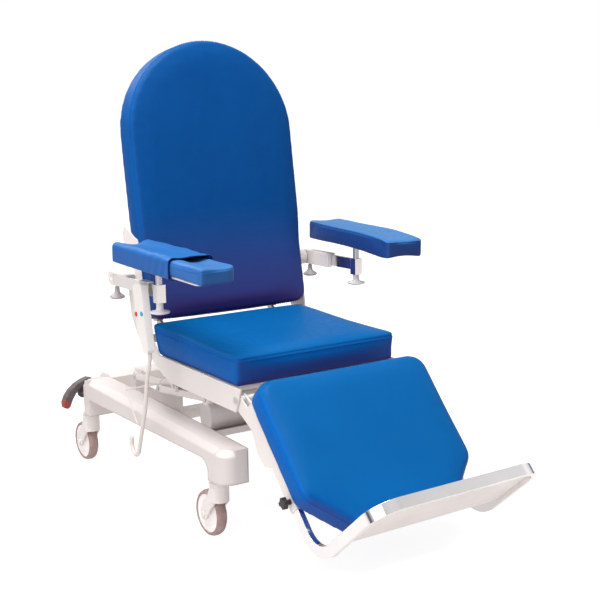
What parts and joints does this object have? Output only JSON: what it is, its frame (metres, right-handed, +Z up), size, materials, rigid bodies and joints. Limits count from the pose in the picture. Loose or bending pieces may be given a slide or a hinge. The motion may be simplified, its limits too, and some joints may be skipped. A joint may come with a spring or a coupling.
{
  "type": "patient recliner chair",
  "caption": "Mobile treatment recliner chair with lifting seat, reclining round-topped back, rising leg rest with foot loop, adjustable arm pads, hand control and swivel casters.",
  "frame": {"origin": "on the floor, at the centre of the rectangle formed by the four wheel centres", "axes": "+Z up, -Y towards the foot end, +X towards the occupant's left"},
  "size_m": [0.8419, 1.5589, 1.3231],
  "materials": {
    "frame_paint": "semi-gloss powder coat, warm white",
    "upholstery": "smooth royal blue vinyl, satin",
    "chrome": "polished",
    "bare_steel": "satin zinc",
    "wheel_tyre": "matt grey",
    "wheel_hub": "satin",
    "dark_plastic": "satin black",
    "grey_plastic": "satin",
    "white_plastic": "satin",
    "pale_panel": "satin cream",
    "plywood": "sealed plywood",
    "red_button": "gloss",
    "blue_button": "gloss",
    "pedal": "matt dark grey",
    "cord": "matt pale grey"
  },
  "bodies": {
    "base": {"base_rail_left": "frame_paint", "base_rail_right": "frame_paint", "base_rear_beam": "frame_paint", "lift_base_frame": "frame_paint", "lift_lower_pins": "bare_steel"},
    "brake": {"brake_pedal": "pedal"},
    "arm_a": {"lift_arms_rear": "frame_paint"},
    "arm_b": {"lift_arms_front": "frame_paint"},
    "lift_motor": {"lift_actuator_body": "dark_plastic"},
    "lift_rod": {"lift_actuator_rod": "chrome"},
    "seat": {"seat_frame": "frame_paint", "seat_side_plates": "frame_paint", "seat_board": "frame_paint", "seat_cushion": "upholstery", "seat_pivot_pins": "bare_steel", "control_box": "white_plastic", "under_seat_cable": "cord"},
    "back": {"back_frame": "frame_paint", "back_board": "plywood", "back_cushion": "upholstery", "arm_brackets": "frame_paint"},
    "back_motor": {"back_actuator_body": "dark_plastic"},
    "back_rod": {"back_actuator_rod": "chrome"},
    "leg": {"leg_frame": "frame_paint", "leg_cushion": "upholstery"},
    "leg_motor": {"leg_actuator_body": "dark_plastic"},
    "leg_rod": {"leg_actuator_rod": "chrome"},
    "footrest": {"foot_loop": "chrome", "foot_plate": "pale_panel"},
    "leg_knob_l": {"leg_knob_left": "dark_plastic"},
    "leg_knob_r": {"leg_knob_right": "dark_plastic"},
    "sleeve_l": {"arm_sleeve_left": "frame_paint"},
    "sleeve_r": {"arm_sleeve_right": "frame_paint"},
    "rail_l": {"arm_rail_left": "chrome"},
    "rail_r": {"arm_rail_right": "chrome"},
    "clamp_l": {"clamp_knob_left": "grey_plastic"},
    "clamp_r": {"clamp_knob_right": "grey_plastic"},
    "post_l": {"pad_post_left": "bare_steel"},
    "post_r": {"pad_post_right": "bare_steel"},
    "pad_l": {"arm_pad_left": "upholstery", "pad_sleeve_left": "upholstery"},
    "pad_r": {"arm_pad_right": "upholstery"},
    "tilt_knob_l": {"tilt_knob_left": "grey_plastic"},
    "tilt_knob_r": {"tilt_knob_right": "grey_plastic"},
    "handset": {"handset_shell": "white_plastic", "handset_cord": "cord"},
    "btn_red": {"handset_button_red": "red_button"},
    "btn_blue": {"handset_button_blue": "blue_button"},
    "caster_fl": {"caster_fork_fl": "frame_paint"},
    "wheel_fl": {"caster_tyre_fl": "wheel_tyre", "caster_hub_fl": "wheel_hub"},
    "caster_fr": {"caster_fork_fr": "frame_paint"},
    "wheel_fr": {"caster_tyre_fr": "wheel_tyre", "caster_hub_fr": "wheel_hub"},
    "caster_rl": {"caster_fork_rl": "frame_paint"},
    "wheel_rl": {"caster_tyre_rl": "wheel_tyre", "caster_hub_rl": "wheel_hub"},
    "caster_rr": {"caster_fork_rr": "frame_paint"},
    "wheel_rr": {"caster_tyre_rr": "wheel_tyre", "caster_hub_rr": "wheel_hub"}
  },
  "joints": [
    {"name": "caster_swivel_fl", "type": "hinge", "parent": "base", "child": "caster_fl", "pos_m": [-0.284, -0.4495, 0.18], "axis": [0, 0, 1], "continuous": true},
    {"name": "wheel_spin_fl", "type": "hinge", "parent": "caster_fl", "child": "wheel_fl", "pos_m": [-0.284, -0.4045, 0.0625], "axis": [1, 0, 0], "continuous": true},
    {"name": "caster_swivel_fr", "type": "hinge", "parent": "base", "child": "caster_fr", "pos_m": [0.284, -0.4495, 0.18], "axis": [0, 0, 1], "continuous": true},
    {"name": "wheel_spin_fr", "type": "hinge", "parent": "caster_fr", "child": "wheel_fr", "pos_m": [0.284, -0.4045, 0.0625], "axis": [1, 0, 0], "continuous": true},
    {"name": "caster_swivel_rl", "type": "hinge", "parent": "base", "child": "caster_rl", "pos_m": [-0.284, 0.3595, 0.18], "axis": [0, 0, 1], "continuous": true},
    {"name": "wheel_spin_rl", "type": "hinge", "parent": "caster_rl", "child": "wheel_rl", "pos_m": [-0.284, 0.4045, 0.0625], "axis": [1, 0, 0], "continuous": true},
    {"name": "caster_swivel_rr", "type": "hinge", "parent": "base", "child": "caster_rr", "pos_m": [0.284, 0.3595, 0.18], "axis": [0, 0, 1], "continuous": true},
    {"name": "wheel_spin_rr", "type": "hinge", "parent": "caster_rr", "child": "wheel_rr", "pos_m": [0.284, 0.4045, 0.0625], "axis": [1, 0, 0], "continuous": true},
    {"name": "brake_pedal_press", "type": "hinge", "parent": "base", "child": "brake", "pos_m": [-0.29, 0.41, 0.222], "axis": [0, -1, 0], "range_deg": [0, 15]},
    {"name": "seat_lift", "type": "hinge", "parent": "base", "child": "arm_a", "pos_m": [0, 0.165, 0.314], "axis": [-1, 0, 0], "range_deg": [0, 48.8]},
    {"name": "lift_arm_follow", "type": "hinge", "parent": "base", "child": "arm_b", "pos_m": [0, -0.015, 0.314], "axis": [-1, 0, 0], "range_deg": [0, 48.8]},
    {"name": "seat_level", "type": "hinge", "parent": "arm_a", "child": "seat", "pos_m": [0, -0.133, 0.346], "axis": [-1, 0, 0], "range_deg": [-48.8, 0]},
    {"name": "lift_actuator_swing", "type": "hinge", "parent": "base", "child": "lift_motor", "pos_m": [-0.005, -0.13, 0.24], "axis": [-1, 0, 0], "range_deg": [0, 47.02]},
    {"name": "lift_actuator_stroke", "type": "slide", "parent": "lift_motor", "child": "lift_rod", "axis": [0, -0.8362, 0.5484], "range_m": [0, 0.11954]},
    {"name": "back_recline", "type": "hinge", "parent": "seat", "child": "back", "pos_m": [0, -0.03, 0.47], "axis": [-1, 0, 0], "range_deg": [0, 68]},
    {"name": "back_actuator_swing", "type": "hinge", "parent": "seat", "child": "back_motor", "pos_m": [0.07, -0.44, 0.345], "axis": [-1, 0, 0], "range_deg": [-0.9, 0]},
    {"name": "back_actuator_stroke", "type": "slide", "parent": "back_motor", "child": "back_rod", "axis": [0, 0.9994, 0.0357], "range_m": [-0.14546, 0]},
    {"name": "leg_raise", "type": "hinge", "parent": "seat", "child": "leg", "pos_m": [0, -0.516, 0.392], "axis": [-1, 0, 0], "range_deg": [-5, 48.4]},
    {"name": "leg_actuator_swing", "type": "hinge", "parent": "seat", "child": "leg_motor", "pos_m": [0.13, -0.2, 0.345], "axis": [-1, 0, 0], "range_deg": [-0.14, 1.19]},
    {"name": "leg_actuator_stroke", "type": "slide", "parent": "leg_motor", "child": "leg_rod", "axis": [0, -0.9969, -0.078], "range_m": [-0.00652, 0.06134]},
    {"name": "footrest_extend", "type": "slide", "parent": "leg", "child": "footrest", "axis": [0, -0.6634, -0.7483], "range_m": [0, 0.06]},
    {"name": "leg_knob_turn_l", "type": "hinge", "parent": "leg", "child": "leg_knob_l", "pos_m": [-0.268, -0.75048, 0.18894], "axis": [-1, 0, 0], "range_deg": [-90, 90]},
    {"name": "arm_level_l", "type": "hinge", "parent": "back", "child": "sleeve_l", "pos_m": [-0.335, 0.033, 0.651], "axis": [-1, 0, 0], "range_deg": [-68, 0]},
    {"name": "arm_rail_slide_l", "type": "slide", "parent": "sleeve_l", "child": "rail_l", "axis": [0, -1, 0], "range_m": [-0.025, 0.03]},
    {"name": "clamp_knob_turn_l", "type": "hinge", "parent": "rail_l", "child": "clamp_l", "pos_m": [-0.349, -0.274, 0.6], "axis": [0, 0, 1], "range_deg": [-90, 90]},
    {"name": "pad_height_l", "type": "slide", "parent": "rail_l", "child": "post_l", "axis": [0, 0, 1], "range_m": [-0.008, 0.014]},
    {"name": "pad_swivel_l", "type": "hinge", "parent": "post_l", "child": "pad_l", "pos_m": [-0.349, -0.274, 0.711], "axis": [0, 0, 1], "range_deg": [0, 12]},
    {"name": "tilt_knob_turn_l", "type": "hinge", "parent": "sleeve_l", "child": "tilt_knob_l", "pos_m": [-0.3372, 0.01, 0.6], "axis": [0, 0, 1], "range_deg": [-90, 90]},
    {"name": "leg_knob_turn_r", "type": "hinge", "parent": "leg", "child": "leg_knob_r", "pos_m": [0.268, -0.75048, 0.18894], "axis": [1, 0, 0], "range_deg": [-90, 90]},
    {"name": "arm_level_r", "type": "hinge", "parent": "back", "child": "sleeve_r", "pos_m": [0.335, 0.033, 0.651], "axis": [-1, 0, 0], "range_deg": [-68, 0]},
    {"name": "arm_rail_slide_r", "type": "slide", "parent": "sleeve_r", "child": "rail_r", "axis": [0, -1, 0], "range_m": [-0.003, 0.05]},
    {"name": "clamp_knob_turn_r", "type": "hinge", "parent": "rail_r", "child": "clamp_r", "pos_m": [0.349, -0.217, 0.6], "axis": [0, 0, 1], "range_deg": [-90, 90]},
    {"name": "pad_height_r", "type": "slide", "parent": "rail_r", "child": "post_r", "axis": [0, 0, 1], "range_m": [-0.008, 0.014]},
    {"name": "pad_swivel_r", "type": "hinge", "parent": "post_r", "child": "pad_r", "pos_m": [0.349, -0.217, 0.711], "axis": [0, 0, 1], "range_deg": [-8, 9]},
    {"name": "tilt_knob_turn_r", "type": "hinge", "parent": "sleeve_r", "child": "tilt_knob_r", "pos_m": [0.3372, 0.01, 0.6], "axis": [0, 0, 1], "range_deg": [-90, 90]},
    {"name": "handset_lift_off", "type": "slide", "parent": "rail_l", "child": "handset", "axis": [0, 0, 1], "range_m": [0, 0.015]},
    {"name": "red_button", "type": "slide", "parent": "handset", "child": "btn_red", "axis": [1, 0, 0], "range_m": [0, 0.0015], "stiffness_N_per_m": 200},
    {"name": "blue_button", "type": "slide", "parent": "handset", "child": "btn_blue", "axis": [1, 0, 0], "range_m": [0, 0.0015], "stiffness_N_per_m": 200}
  ],
  "couplings": [
    {"joint": "lift_arm_follow", "follows": "seat_lift", "ratio": 1},
    {"joint": "seat_level", "follows": "seat_lift", "ratio": -1},
    {"joint": "lift_actuator_swing", "follows": "seat_lift", "ratio": 0.96323},
    {"joint": "lift_actuator_stroke", "follows": "seat_lift", "m_per_rad": 0.14011},
    {"joint": "back_actuator_swing", "follows": "back_recline", "ratio": -0.01294},
    {"joint": "back_actuator_stroke", "follows": "back_recline", "m_per_rad": -0.12239},
    {"joint": "leg_actuator_swing", "follows": "leg_raise", "ratio": 0.02419},
    {"joint": "leg_actuator_stroke", "follows": "leg_raise", "m_per_rad": 0.072383},
    {"joint": "arm_level_l", "follows": "back_recline", "ratio": -1},
    {"joint": "arm_level_r", "follows": "back_recline", "ratio": -1}
  ]
}
